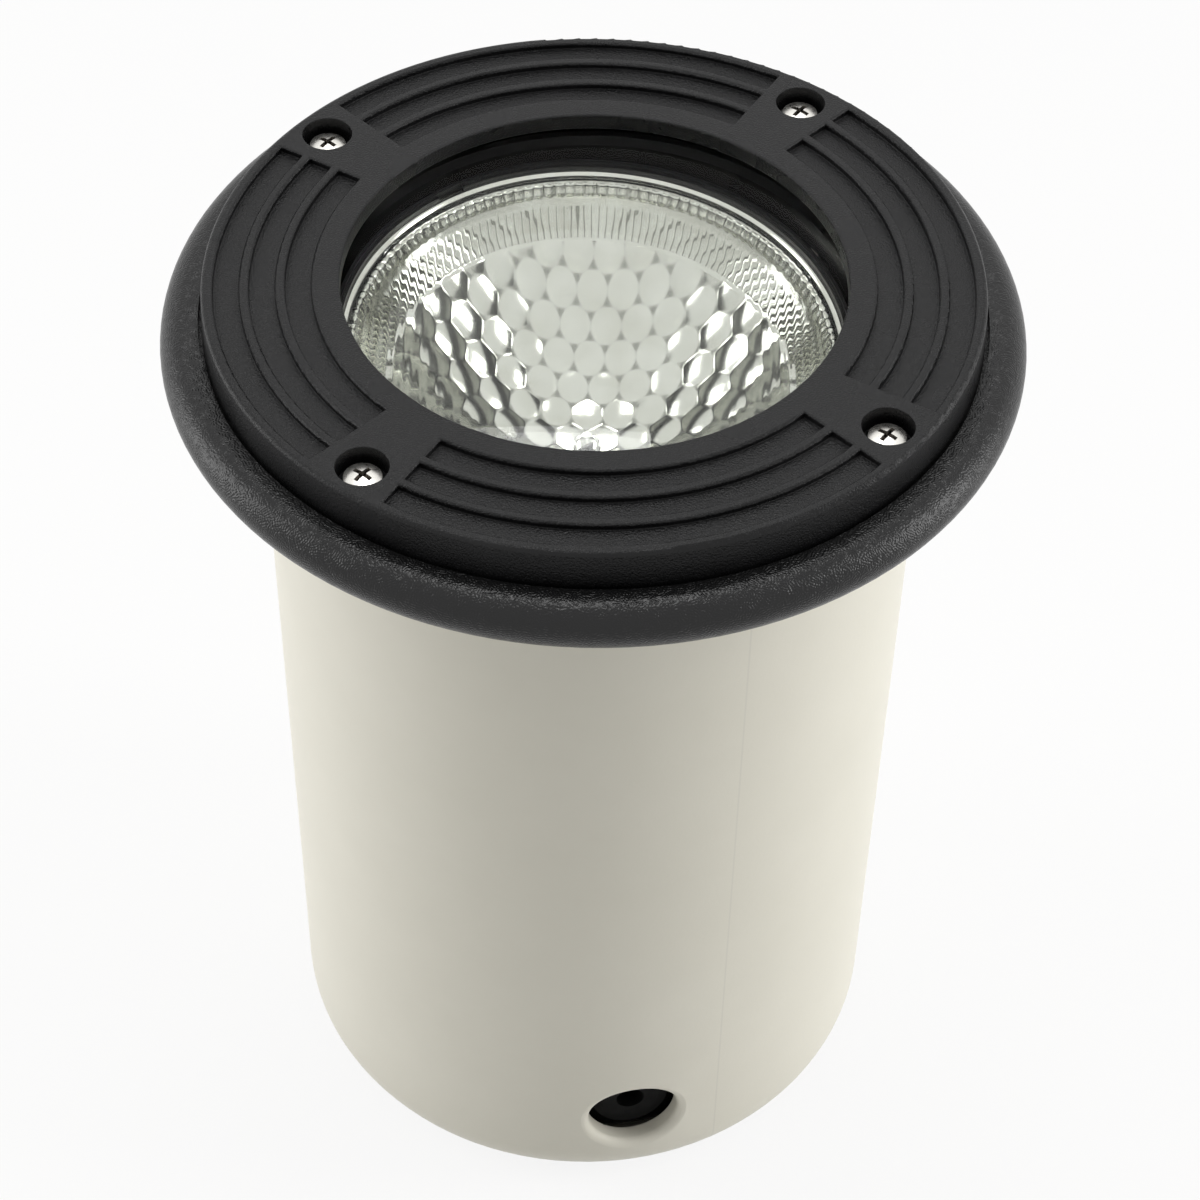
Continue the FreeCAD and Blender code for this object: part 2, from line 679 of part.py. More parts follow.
def lamp_reflector():
    """Bowl with a rolled rim, a seat for the lens and a neck for the leads."""
    rim = below(lamp_rim_depth)
    seat_r = lens_radius + lens_seat_gap
    inner = bowl_points(0.0)
    outer = bowl_points(lamp_shell)
    neck_z = rim - reflector_depth - lamp_neck_length
    return lathe((seat_r, rim), (lamp_rim_radius - 0.4, rim), (lamp_rim_radius, rim - 0.4),
                 (lamp_rim_radius, rim - lamp_rim_thickness), (outer[0][0], rim - lamp_rim_thickness),
                 (outer[0][0], outer[0][1]),
                 (outer[1][0], outer[1][1], lamp_neck_radius, rim - reflector_depth + 1.0),
                 (lamp_neck_radius, neck_z), (0, neck_z), (0, rim - reflector_depth),
                 (bowl_flat_radius, rim - reflector_depth),
                 (inner[1][0], inner[1][1], inner[0][0], inner[0][1]),
                 (seat_r, inner[0][1]))


def lamp_lens():
    """Shallow domed lens with a flat edge band."""
    rim = below(lamp_rim_depth)
    low = rim - reflector_mouth_depth
    edge = low + lens_thickness
    inner_r = lens_radius - lens_edge_band
    outer_mid = chord_middle(inner_r, lens_crown)
    return lathe((lens_radius, low), (lens_radius, edge), (inner_r, edge),
                 (outer_mid[0], edge + outer_mid[1], 0, edge + lens_crown),
                 (0, low + lens_crown),
                 (outer_mid[0], low + outer_mid[1], inner_r, low))


def chord_middle(radius, crown):
    """A point half way along a spherical cap of this radius and crown."""
    sphere = (radius ** 2 + crown ** 2) / (2 * crown)
    half = radius / 2
    return half, crown - sphere + math.sqrt(sphere ** 2 - half ** 2)


def halogen_capsule():
    """Small inner bulb on the bottom of the bowl."""
    base = below(lamp_rim_depth + reflector_depth)
    shoulder = base + capsule_height - capsule_radius
    inside = capsule_radius - capsule_wall
    return lathe((0, base), (capsule_radius, base), (capsule_radius, shoulder),
                 corner(0, shoulder, capsule_radius, 90, 0),
                 (0, shoulder + inside), corner(0, shoulder, inside, 0, 90),
                 (inside, base + capsule_base), (0, base + capsule_base))


def filament():
    """Coiled filament across the capsule, drawn as the cylinder that its turns fill."""
    middle = below(lamp_rim_depth + reflector_depth) + filament_height
    return radial_rod(filament_radius, -filament_length / 2, filament_length / 2, middle)


def filament_posts():
    """The two stiff wires that carry the filament."""
    bowl_bottom = below(lamp_rim_depth + reflector_depth)
    base = bowl_bottom + capsule_base
    offset = filament_length / 2 + post_radius
    top = bowl_bottom + filament_height + filament_radius
    return [post(post_radius, side * offset, 0, base, top) for side in (-1, 1)]


def rear_insulator():
    """Ceramic disc on the lamp's neck, with a barrier between the terminals."""
    top = below(lamp_rim_depth + reflector_depth + lamp_neck_length)
    disc = post(insulator_radius, 0, 0, top - insulator_thickness, top)
    face = top - insulator_thickness
    half = insulator_radius * 0.8
    wall = block(-barrier_half_width, barrier_half_width, -half, half, face - barrier_height, face)
    hole = [post(terminal_screw_radius, side * terminal_spacing / 2, 0, face, top - 1) for side in (-1, 1)]
    return disc.fuse(wall).removeSplitter().cut(hole)


def terminal_plates():
    """Two brass plates under the terminal screws."""
    top = below(lamp_rim_depth + reflector_depth + lamp_neck_length) - insulator_thickness
    half = terminal_plate_width / 2
    plates = []
    for side in (-1, 1):
        x = side * terminal_spacing / 2
        plate = block(x - half, x + half, -half, half, top - terminal_plate_thickness, top)
        plates.append(plate.cut(post(terminal_screw_radius + 0.05, x, 0, top - 2, top + 1)))
    return plates


def terminal_screws():
    """Two slotted screws on the back of the lamp, where a cable would be clamped."""
    seat = (below(lamp_rim_depth + reflector_depth + lamp_neck_length)
            - insulator_thickness - terminal_plate_thickness)
    screws = []
    for side in (-1, 1):
        x = side * terminal_spacing / 2
        head = post(terminal_head_radius, x, 0, seat - terminal_head_height, seat)
        shank = post(terminal_screw_radius, x, 0, seat, seat + insulator_thickness - 0.4)
        low = seat - terminal_head_height
        slot = block(x - 4, x + 4, -slot_half_width, slot_half_width, low - 1, low + slot_depth)
        screws.append(head.fuse(shank).removeSplitter().cut(slot))
    return screws


# ---------------------------------------------------------------- placing and saving
def panned(shapes):
    """Turn the yoke's pieces to the resting pan direction."""
    return [turned(shape, pan_at_rest_deg) for shape in shapes]


def tilted(shapes):
    """Lean the lamp's pieces about the pivot axis, then pan them with the yoke."""
    pieces = []
    for shape in shapes:
        piece = shape.copy()
        piece.rotate(FreeCAD.Vector(0, 0, below(pivot_depth)), FreeCAD.Vector(1, 0, 0), tilt_at_rest_deg)
        pieces.append(piece)
    return panned(pieces)


def save(name, *solids):
    """Write one node; several solids stay separate in it."""
    shape = solids[0] if len(solids) == 1 else Part.makeCompound(list(solids))
    if shape.ShapeType == "Compound" and len(shape.Solids) == 1:
        shape = shape.Solids[0]
    shape.exportStep("parts/" + name + ".step")
    print(name, "solids", len(shape.Solids), "valid", shape.isValid(), "volume", round(shape.Volume, 1))


def main():
    """Build every piece and write it."""
    os.makedirs("parts", exist_ok=True)
    save("ground_sleeve", ground_sleeve())
    save("mounting_collar", mounting_collar())
    save("lamp_canister", lamp_canister())
    save("canister_flange", canister_flange())
    save("inner_bezel", inner_bezel())
    save("bezel_seal", bezel_seal())
    save("bezel_screws", *around(bezel_screw(), lug_angles()))
    save("threaded_inserts", *placed_at_pads(threaded_insert()))
    save("glide_ring", glide_ring())
    save("cable_grommet", cable_grommet())

    save("lid_ring", lid_ring())
    save("cover_glass", cover_glass())
    save("glass_gasket", glass_gasket())
    save("lid_screws", *placed_at_pads(lid_screw()))
    save("screw_seals", *placed_at_pads(screw_seal()))

    save("yoke", *panned([yoke()]))
    save("pivot_washers", *panned(around(pivot_washer(), [0, 180])))

    save("gimbal_ring", *tilted([gimbal_ring()]))
    save("pivot_screws", *tilted(around(pivot_screw(), [0, 180])))
    save("snap_ring", *tilted([snap_ring()]))
    save("lamp_reflector", *tilted([lamp_reflector()]))
    save("lamp_lens", *tilted([lamp_lens()]))
    save("halogen_capsule", *tilted([halogen_capsule()]))
    save("filament", *tilted([filament()]))
    save("filament_posts", *tilted(filament_posts()))
    save("rear_insulator", *tilted([rear_insulator()]))
    save("terminal_plates", *tilted(terminal_plates()))
    save("terminal_screws", *tilted(terminal_screws()))


main()
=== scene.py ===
"""In-ground well light: finishes, lamp optics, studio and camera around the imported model."""
import math

import bpy
import numpy
from mathutils import Matrix, Vector


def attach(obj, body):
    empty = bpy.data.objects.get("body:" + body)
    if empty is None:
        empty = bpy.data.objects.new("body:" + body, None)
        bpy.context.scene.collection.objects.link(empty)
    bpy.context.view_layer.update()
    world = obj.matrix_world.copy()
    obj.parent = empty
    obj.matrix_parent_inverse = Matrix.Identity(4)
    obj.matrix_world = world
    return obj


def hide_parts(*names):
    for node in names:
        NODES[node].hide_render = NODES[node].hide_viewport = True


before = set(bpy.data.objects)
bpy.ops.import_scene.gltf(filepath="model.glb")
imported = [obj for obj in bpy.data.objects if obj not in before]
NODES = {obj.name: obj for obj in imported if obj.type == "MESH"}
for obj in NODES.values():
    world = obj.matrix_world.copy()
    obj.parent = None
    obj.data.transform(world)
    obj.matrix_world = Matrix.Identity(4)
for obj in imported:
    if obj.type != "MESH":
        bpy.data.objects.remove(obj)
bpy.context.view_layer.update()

# ---------------------------------------------------------------- camera, as fitted to the photograph
OVERALL_HEIGHT = 0.240
CAMERA_ANGLE = math.radians(-100.7)     # direction of the camera round the object
CAMERA_DISTANCE = 0.5170                # from the object's axis
CAMERA_OVER_LID = 0.4434
CAMERA_PITCH = 0.812
CAMERA_YAW = 0.005
CAMERA_ROLL = 0.021
CAMERA_LENS = 94.73                     # millimetres on a 36 mm sensor


def make_camera():
    """The camera at the photograph's viewing angle."""
    data = bpy.data.cameras.new("camera")
    data.sensor_width = 36.0
    data.lens = CAMERA_LENS
    data.clip_start = 0.01
    data.clip_end = 50.0
    turn = Matrix.Rotation(CAMERA_ANGLE + math.pi / 2, 3, "Z")
    ahead = turn @ Vector((math.sin(CAMERA_YAW) * math.cos(CAMERA_PITCH),
                           math.cos(CAMERA_YAW) * math.cos(CAMERA_PITCH), -math.sin(CAMERA_PITCH)))
    level = ahead.cross(Vector((0, 0, 1))).normalized()
    upright = level.cross(ahead)
    right = level * math.cos(CAMERA_ROLL) + upright * math.sin(CAMERA_ROLL)
    up = upright * math.cos(CAMERA_ROLL) - level * math.sin(CAMERA_ROLL)
    camera = bpy.data.objects.new("camera", data)
    place = Matrix((right, up, -ahead)).transposed().to_4x4()
    place.translation = (CAMERA_DISTANCE * math.cos(CAMERA_ANGLE),
                         CAMERA_DISTANCE * math.sin(CAMERA_ANGLE), OVERALL_HEIGHT + CAMERA_OVER_LID)
    camera.matrix_world = place
    bpy.context.collection.objects.link(camera)
    bpy.context.scene.camera = camera


make_camera()
bpy.context.scene.view_settings.view_transform = "Standard"


# ---------------------------------------------------------------- material helpers
def new_material(name):
    """A material with its node tree and its Principled shader."""
    material = bpy.data.materials.new(name)
    material.use_nodes = True
    tree = material.node_tree
    shader = tree.nodes["Principled BSDF"]
    return material, tree, shader


def assign(material, *names):
    """Give CAD nodes this material."""
    for name in names:
        slots = NODES[name].material_slots
        if not slots:
            NODES[name].data.materials.append(material)
        for slot in NODES[name].material_slots:
            slot.material = material


def position(tree):
    """Object-space coordinates, in metres."""
    return tree.nodes.new("ShaderNodeTexCoord").outputs["Object"]


def split_xyz(tree, vector):
    """The outputs X, Y and Z of a vector."""
    node = tree.nodes.new("ShaderNodeSeparateXYZ")
    tree.links.new(vector, node.inputs[0])
    return node.outputs


def noise(tree, vector, scale, detail=2.0, roughness=0.5):
    """A noise texture's factor."""
    node = tree.nodes.new("ShaderNodeTexNoise")
    node.inputs["Scale"].default_value = scale
    node.inputs["Detail"].default_value = detail
    node.inputs["Roughness"].default_value = roughness
    tree.links.new(vector, node.inputs["Vector"])
    return node.outputs["Fac"]


def remap(tree, value, low, high, to_low, to_high):
    """A value moved from one range to another, clamped."""
    node = tree.nodes.new("ShaderNodeMapRange")
    ends = {"From Min": low, "From Max": high, "To Min": to_low, "To Max": to_high}
    for socket, number in ends.items():
        node.inputs[socket].default_value = number
    tree.links.new(value, node.inputs["Value"])
    return node.outputs["Result"]


def ramp(tree, value, *stops):
    """A colour ramp; each stop is (position, (r, g, b))."""
    node = tree.nodes.new("ShaderNodeValToRGB")
    elements = node.color_ramp.elements
    while len(elements) < len(stops):
        elements.new(0.5)
    for element, (place, colour) in zip(elements, stops):
        element.position = place
        element.color = (*colour, 1.0)
    tree.links.new(value, node.inputs["Fac"])
    return node.outputs["Color"]


def bump(tree, shader, height, distance, before=None):
    """A bump of this real depth in metres, over the normals given as before."""
    node = tree.nodes.new("ShaderNodeBump")
    node.inputs["Distance"].default_value = distance
    node.inputs["Strength"].default_value = 1.0
    tree.links.new(height, node.inputs["Height"])
    if before is not None:
        tree.links.new(before, node.inputs["Normal"])
    tree.links.new(node.outputs["Normal"], shader.inputs["Normal"])


def calculate(tree, operation, first, second=None):
    """A maths node's result; numbers and sockets both go in."""
    node = tree.nodes.new("ShaderNodeMath")
    node.operation = operation
    for socket, value in zip(node.inputs, (first, second)):
        if isinstance(value, float):
            socket.default_value = value
        elif value is not None:
            tree.links.new(value, socket)
    return node.outputs[0]


def hypotenuse(tree, first, second):
    """The length of two values at right angles."""
    squares = calculate(tree, "ADD", calculate(tree, "MULTIPLY", first, first),
                        calculate(tree, "MULTIPLY", second, second))
    return calculate(tree, "SQRT", squares)


def soft_step(tree, value, low, high):
    """0 below low, 1 above high, smooth between; low may be the larger."""
    node = tree.nodes.new("ShaderNodeMapRange")
    node.interpolation_type = "SMOOTHSTEP"
    node.inputs["From Min"].default_value = low
    node.inputs["From Max"].default_value = high
    tree.links.new(value, node.inputs["Value"])
    return node.outputs["Result"]


def mixed(tree, factor, first, second):
    """First where the factor is 0, second where it is 1; each is a colour or a socket."""
    node = tree.nodes.new("ShaderNodeMix")
    node.data_type = "RGBA"
    tree.links.new(factor, node.inputs[0])
    for socket, value in ((node.inputs[6], first), (node.inputs[7], second)):
        if isinstance(value, tuple):
            socket.default_value = (*value, 1.0)
        else:
            tree.links.new(value, socket)
    return node.outputs[2]


def turned_to_front(tree, vector):
    """The vector turned about Z by a fixed angle, so that Y runs from the front to the back."""
    turn = tree.nodes.new("ShaderNodeVectorRotate")
    turn.rotation_type = "Z_AXIS"
    turn.inputs["Angle"].default_value = -(CAMERA_ANGLE + math.pi / 2)
    tree.links.new(vector, turn.inputs["Vector"])
    return turn.outputs[0]


def speckled(tree, shader, cloud, colour, depth, roughness):
    """A colour that sinks to this depth where the cloud is dark, and roughness within a tenth."""
    dark = tuple(part * depth for part in colour)
    tone = ramp(tree, cloud, (CLOUD_LOW, dark), (CLOUD_HIGH, colour))
    tree.links.new(tone, shader.inputs["Base Color"])
    rough = remap(tree, cloud, CLOUD_LOW, CLOUD_HIGH, roughness * 0.9, roughness * 1.1)
    tree.links.new(rough, shader.inputs["Roughness"])


def rounded_edges(tree, radius):
    """Shading normals that round off sharp edges by this radius in metres."""
    node = tree.nodes.new("ShaderNodeBevel")
    node.samples = 6
    node.inputs["Radius"].default_value = radius
    return node.outputs["Normal"]


# ---------------------------------------------------------------- materials
CLOUD_LOW, CLOUD_HIGH = 0.3, 0.7        # noise between these values is spread over a whole range
LID_GRAIN = 2400.0                      # noise scales are per metre
LID_GRAIN_RISE = 0.00020
LID_CLOUD = 60.0
LID_EDGE = 0.00045
LID_DARK = (0.004, 0.004, 0.0043)
LID_LIGHT = (0.007, 0.007, 0.0074)
COLLAR_TONE = (0.004, 0.004, 0.0042)
SLEEVE_CLOUD = 22.0
SLEEVE_DARK = (0.745, 0.720, 0.620)
SLEEVE_LIGHT = (0.785, 0.760, 0.662)
SLEEVE_GRAIN_RISE = 0.00002
FINE_GRAIN = 900.0
SCUFF_RISE = 0.00001
METAL_CLOUD = 400.0
PLAIN_CLOUD = 300.0
MIRROR_CLOUD = 120.0
MIRROR_DARK = (0.58, 0.585, 0.525)
MIRROR_LIGHT = (0.66, 0.67, 0.615)
WRINKLE_SCALE = 620.0                   # patches per metre
WRINKLE_FREQUENCY = 3.0                 # lines per patch
WRINKLE_RISE = 0.0002
SEAM_ANGLE = math.radians(-73.0)        # the sleeve's parting line
SLEEVE_RADIUS = 0.069                   # rounded; it only sets how wide the line is
SEAM_FADE = (0.00035, 0.00005)          # distances from its middle where it starts and is full
SEAM_STRENGTH = 0.35
SEAM_TONE = (0.62, 0.60, 0.53)
SCREW_RECESS = (0.2366, 0.2372)         # heights between which painted shade darkens a lid screw's recess
SCREW_CIRCLE = 0.0762                   # the lid screws' axes stand on this radius
SCREW_CLOCK = math.radians(42.0)        # angle of the first of the four
# painted shade colour for the lid screws' cross recesses
SCREW_RECESS_SHADE = (0.06, 0.052, 0.045)
SCREW_TONE = (0.86, 0.84, 0.79)
RECESS_REACH = (0.0022, 0.0027)         # the cross recess ends between these distances from the axis
CREASE_FADE = (0.16, 0.40)              # relief at which a crease's painted shade is full, and at which it ends
# painted shade colour for the creases between the reflector's facets
CREASE_SHADE = (0.30, 0.305, 0.27)
COVER_INDEX = 1.13
LENS_INDEX = 1.32
FLUTE_PITCH = 0.0019
FLUTE_RISE = 0.00004
FLUTES_START = 0.034
FLUTES_FULL = 0.050
HAMMER_GRAIN = 260.0
HAMMER_STRETCH = (1.0, 0.35, 1.0)
HAMMER_SHARE = 1.2                      # of the flutes' rise


def black_polymer():
    """Moulded black lid: fine matt grain."""
    material, tree, shader = new_material("black_polymer")
    place = position(tree)
    grain = noise(tree, place, LID_GRAIN)
    cloud = noise(tree, place, LID_CLOUD, 3.0)
    colour = ramp(tree, cloud, (CLOUD_LOW, LID_DARK), (CLOUD_HIGH, LID_LIGHT))
    tree.links.new(colour, shader.inputs["Base Color"])
    tree.links.new(remap(tree, cloud, CLOUD_LOW, CLOUD_HIGH, 0.25, 0.33), shader.inputs["Roughness"])
    shader.inputs["Specular IOR Level"].default_value = 0.26
    bump(tree, shader, grain, LID_GRAIN_RISE, before=rounded_edges(tree, LID_EDGE))
    return material


def wrinkled_polymer():
    """Collar: labyrinth of fine leather-like wrinkles, about 0.5 mm from line to line."""
    material, tree, shader = new_material("wrinkled_polymer")
    place = position(tree)
    lines = tree.nodes.new("ShaderNodeTexGabor")
    lines.gabor_type = "3D"
    lines.inputs["Scale"].default_value = WRINKLE_SCALE
    lines.inputs["Frequency"].default_value = WRINKLE_FREQUENCY
    lines.inputs["Anisotropy"].default_value = 0.0
    tree.links.new(place, lines.inputs["Vector"])
    shader.inputs["Base Color"].default_value = (*COLLAR_TONE, 1)
    shader.inputs["Roughness"].default_value = 0.28
    shader.inputs["Specular IOR Level"].default_value = 0.38
    bump(tree, shader, lines.outputs["Value"], WRINKLE_RISE)
    return material


def sleeve_pvc():
    """Off-white moulded sleeve with faint mottling and a fine parting line."""
    material, tree, shader = new_material("sleeve_pvc")
    place = position(tree)
    cloud = noise(tree, place, SLEEVE_CLOUD, 4.0, 0.55)
    colour = ramp(tree, cloud, (CLOUD_LOW, SLEEVE_DARK), (CLOUD_HIGH, SLEEVE_LIGHT))
    split = split_xyz(tree, place)
    turn = calculate(tree, "ARCTAN2", split["Y"], split["X"])
    aside = calculate(tree, "ABSOLUTE", calculate(tree, "SUBTRACT", turn, SEAM_ANGLE))
    aside = calculate(tree, "MULTIPLY", aside, SLEEVE_RADIUS)
    seam = soft_step(tree, aside, *SEAM_FADE)
    colour = mixed(tree, calculate(tree, "MULTIPLY", seam, SEAM_STRENGTH), colour, SEAM_TONE)
    tree.links.new(colour, shader.inputs["Base Color"])
    tree.links.new(remap(tree, cloud, CLOUD_LOW, CLOUD_HIGH, 0.40, 0.48), shader.inputs["Roughness"])
    bump(tree, shader, noise(tree, place, FINE_GRAIN), SLEEVE_GRAIN_RISE)
    return material


def metal(name, colour, roughness):
    """A plain metal with a very slight cloudiness."""
    material, tree, shader = new_material(name)
    shader.inputs["Metallic"].default_value = 1.0
    speckled(tree, shader, noise(tree, position(tree), METAL_CLOUD), colour, 0.97, roughness)
    return material


def screw_steel():
    """Satin stainless lid screws, with painted shade in the cross recess."""
    material, tree, shader = new_material("screw_steel")
    place = position(tree)
    split = split_xyz(tree, place)
    height = remap(tree, split["Z"], *SCREW_RECESS, 0.0, 1.0)
    radius = hypotenuse(tree, split["X"], split["Y"])
    turn = calculate(tree, "SUBTRACT", calculate(tree, "ARCTAN2", split["Y"], split["X"]), SCREW_CLOCK)
    fourfold = calculate(tree, "SINE", calculate(tree, "MULTIPLY", turn, 2.0))
    aside = calculate(tree, "MULTIPLY", fourfold, SCREW_CIRCLE / 2)     # near any of the four axes
    out = calculate(tree, "SUBTRACT", radius, SCREW_CIRCLE)
    reach = hypotenuse(tree, aside, out)
    # painted shade: 0 deep in a cross recess near a screw's axis, 1 elsewhere
    unshaded = calculate(tree, "MAXIMUM", height, remap(tree, reach, *RECESS_REACH, 0.0, 1.0))
    tree.links.new(ramp(tree, unshaded, (0.0, SCREW_RECESS_SHADE), (1.0, SCREW_TONE)), shader.inputs["Base Color"])
    scuffs = noise(tree, place, FINE_GRAIN, 3.0)
    tree.links.new(remap(tree, scuffs, CLOUD_LOW, CLOUD_HIGH, 0.24, 0.36), shader.inputs["Roughness"])
    shader.inputs["Metallic"].default_value = 1.0
    bump(tree, shader, scuffs, SCUFF_RISE)
    return material


def plain(name, colour, roughness, gloss=0.5, grain=0.00003):
    """A moulded or coated surface with slight variation."""
    material, tree, shader = new_material(name)
    shader.inputs["Specular IOR Level"].default_value = gloss
    cloud = noise(tree, position(tree), PLAIN_CLOUD, 3.0)
    speckled(tree, shader, cloud, colour, 0.88, roughness)
    bump(tree, shader, cloud, grain)
    return material


def clear_glass(name, index=1.5):
    """Clear glass; a low index stands for a pane with an anti-reflection coating."""
    material, _, shader = new_material(name)
    shader.inputs["Base Color"].default_value = (0.995, 1.0, 0.995, 1)
    shader.inputs["Transmission Weight"].default_value = 1.0
    shader.inputs["Roughness"].default_value = 0.0
    shader.inputs["IOR"].default_value = index
    return material


def mirror(name, creases=False):
    """Bright aluminised coating, slightly uneven; with creases, painted shade darkens it between the
    facets.
    """
    material, tree, shader = new_material(name)
    cloud = noise(tree, position(tree), MIRROR_CLOUD)
    colour = ramp(tree, cloud, (CLOUD_LOW, MIRROR_DARK), (CLOUD_HIGH, MIRROR_LIGHT))
    if creases:
        relief = tree.nodes.new("ShaderNodeAttribute")
        relief.attribute_name = "relief"
        # painted shade in the creases, taken from the facets' relief
        colour = mixed(tree, soft_step(tree, relief.outputs["Fac"], *CREASE_FADE), CREASE_SHADE, colour)
    tree.links.new(colour, shader.inputs["Base Color"])
    tree.links.new(remap(tree, cloud, CLOUD_LOW, CLOUD_HIGH, 0.12, 0.16), shader.inputs["Roughness"])
    shader.inputs["Metallic"].default_value = 1.0
    return material


def fluted_glass():
    """Lens glass with parallel flutes and a faint hammered grain, both only near the edge."""
    material = clear_glass("lens_flutes", LENS_INDEX)
    tree = material.node_tree
    shader = tree.nodes["Principled BSDF"]
    place = turned_to_front(tree, position(tree))
    split = split_xyz(tree, place)
    wave = calculate(tree, "SINE", calculate(tree, "MULTIPLY", split["X"], 2 * math.pi / FLUTE_PITCH))
    edge = remap(tree, hypotenuse(tree, split["X"], split["Y"]), FLUTES_START, FLUTES_FULL, 0.0, 1.0)
    stretch = tree.nodes.new("ShaderNodeMapping")
    stretch.inputs["Scale"].default_value = HAMMER_STRETCH
    tree.links.new(place, stretch.inputs["Vector"])
    grain = noise(tree, stretch.outputs[0], HAMMER_GRAIN, 1.5)
    height = calculate(tree, "ADD", wave, calculate(tree, "MULTIPLY", grain, HAMMER_SHARE))
    bump(tree, shader, calculate(tree, "MULTIPLY", height, edge), FLUTE_RISE)
    return material


assign(black_polymer(), "lid_ring")
assign(wrinkled_polymer(), "mounting_collar")
assign(sleeve_pvc(), "ground_sleeve")
assign(plain("well_black", (0.006, 0.006, 0.006), 0.22, 0.12, 0.000008),
       "lamp_canister", "canister_flange", "inner_bezel")
assign(plain("black_rubber", (0.005, 0.005, 0.005), 0.7, 0.1),
       "glass_gasket", "screw_seals", "cable_grommet", "bezel_seal")
assign(screw_steel(), "lid_screws")
assign(metal("stainless", (0.78, 0.76, 0.72), 0.28), "bezel_screws", "pivot_screws")
assign(metal("brass_metal", (0.75, 0.58, 0.30), 0.3),
       "threaded_inserts", "terminal_plates", "terminal_screws")
assign(metal("tungsten", (0.40, 0.39, 0.38), 0.4), "filament", "filament_posts")
assign(plain("nylon", (0.78, 0.78, 0.75), 0.45), "glide_ring", "pivot_washers")
assign(plain("porcelain", (0.80, 0.78, 0.73), 0.35), "rear_insulator")
assign(plain("black_metal", (0.015, 0.015, 0.015), 0.35), "yoke", "gimbal_ring", "snap_ring")
assign(clear_glass("cover_glass", COVER_INDEX), "cover_glass")
assign(clear_glass("lamp_glass"), "lamp_lens", "halogen_capsule")
assign(mirror("mirror_coat"), "lamp_reflector")


# ---------------------------------------------------------------- lamp optics
PIVOT_HEIGHT = 0.2155
LAMP_PAN = math.radians(26.0)           # as the lamp stands in the photograph
LAMP_LEAN = math.radians(3.6)
RIM_HEIGHT = 0.2201                     # upper face of the lamp's rim before it leans
BOWL_MOUTH = 0.0531
BOWL_MOUTH_DEPTH = 0.0030
BOWL_DEPTH = 0.0390
BOWL_FLAT = 0.0066                      # round the capsule
BOWL_RINGS = 170
BOWL_STEPS = 920                        # round the circle
RIM_RADII = (0.0541, 0.0541, 0.0560, 0.0564, 0.0564, 0.0557)
RIM_DEPTHS = (BOWL_MOUTH_DEPTH, 0.0, 0.0, 0.0004, 0.0020, 0.0020)
SHELL_RADIUS = 0.0549
SHELL_WALL = 0.0018
SHELL_RINGS = 40
NECK_RADIUS = 0.0110
NECK_LENGTH = 0.0090
FACET_PITCH = 0.0071
FACET_RISE = 0.00060
FACET_SOFTNESS = 2.2e-6                 # square metres; rounds the creases between facets
FACETS_END = 0.0450
INNER_FLUTES = (0.0453, 0.0498, 184, 0.00010)   # from, to, count, rise
OUTER_FLUTES = (0.0512, 0.0531, 136, 0.00030)
LENS_RADIUS = 0.0539
LENS_BAND = 0.0030
LENS_THICKNESS = 0.0026
LENS_CROWN = 0.0050
LENS_RINGS = 90
LENS_STEPS = 256


def lamp_matrix():
    """The lamp's place: leant about its pivots, then panned with the yoke."""
    up = Matrix.Translation((0, 0, PIVOT_HEIGHT))
    lean = up @ Matrix.Rotation(LAMP_LEAN, 4, "X") @ up.inverted()
    return Matrix.Rotation(LAMP_PAN, 4, "Z") @ lean @ Matrix.Rotation(-LAMP_PAN, 4, "Z")


def revolved(name, radii, heights, steps, lift=None):
    """A closed lathe surface; lift moves points along the profile's normal."""
    turn = numpy.linspace(0, 2 * math.pi, steps, endpoint=False)
    x = numpy.outer(numpy.cos(turn), radii)
    y = numpy.outer(numpy.sin(turn), radii)
    z = numpy.tile(heights, (steps, 1))
    if lift is not None:
        x, y, z = lift(x, y, z)
    count = len(radii)
    corner = numpy.arange(steps)[:, None] * count + numpy.arange(count - 1)[None, :]
    beside = (numpy.arange(steps)[:, None] + 1) % steps * count + numpy.arange(count - 1)[None, :]
    faces = numpy.stack([corner, corner + 1, beside + 1, beside], -1).reshape(-1, 4)
    mesh = bpy.data.meshes.new(name)
    mesh.from_pydata(numpy.stack([x, y, z], -1).reshape(-1, 3).tolist(), [], faces.tolist())
    mesh.shade_smooth()
    piece = bpy.data.objects.new(name, mesh)
    bpy.context.collection.objects.link(piece)
    return piece


def facet_height(x, y):
    """Relief of the pressed hexagonal facets, with softened creases."""
    row_pitch = FACET_PITCH * math.sqrt(3) / 2
    row = numpy.round(y / row_pitch)
    nearness = numpy.zeros(x.shape)
    for row_step in (-1, 0, 1):
        line = row + row_step
        shift = numpy.abs(line) % 2 * FACET_PITCH / 2
        column = numpy.round((x - shift) / FACET_PITCH)
        for column_step in (-1, 0, 1):
            across = x - (column + column_step) * FACET_PITCH - shift
            along = y - line * row_pitch
            nearness += numpy.exp(-(across ** 2 + along ** 2) / FACET_SOFTNESS)
    squared = -numpy.log(nearness) * FACET_SOFTNESS
    return 1 - 3 * squared / FACET_PITCH ** 2


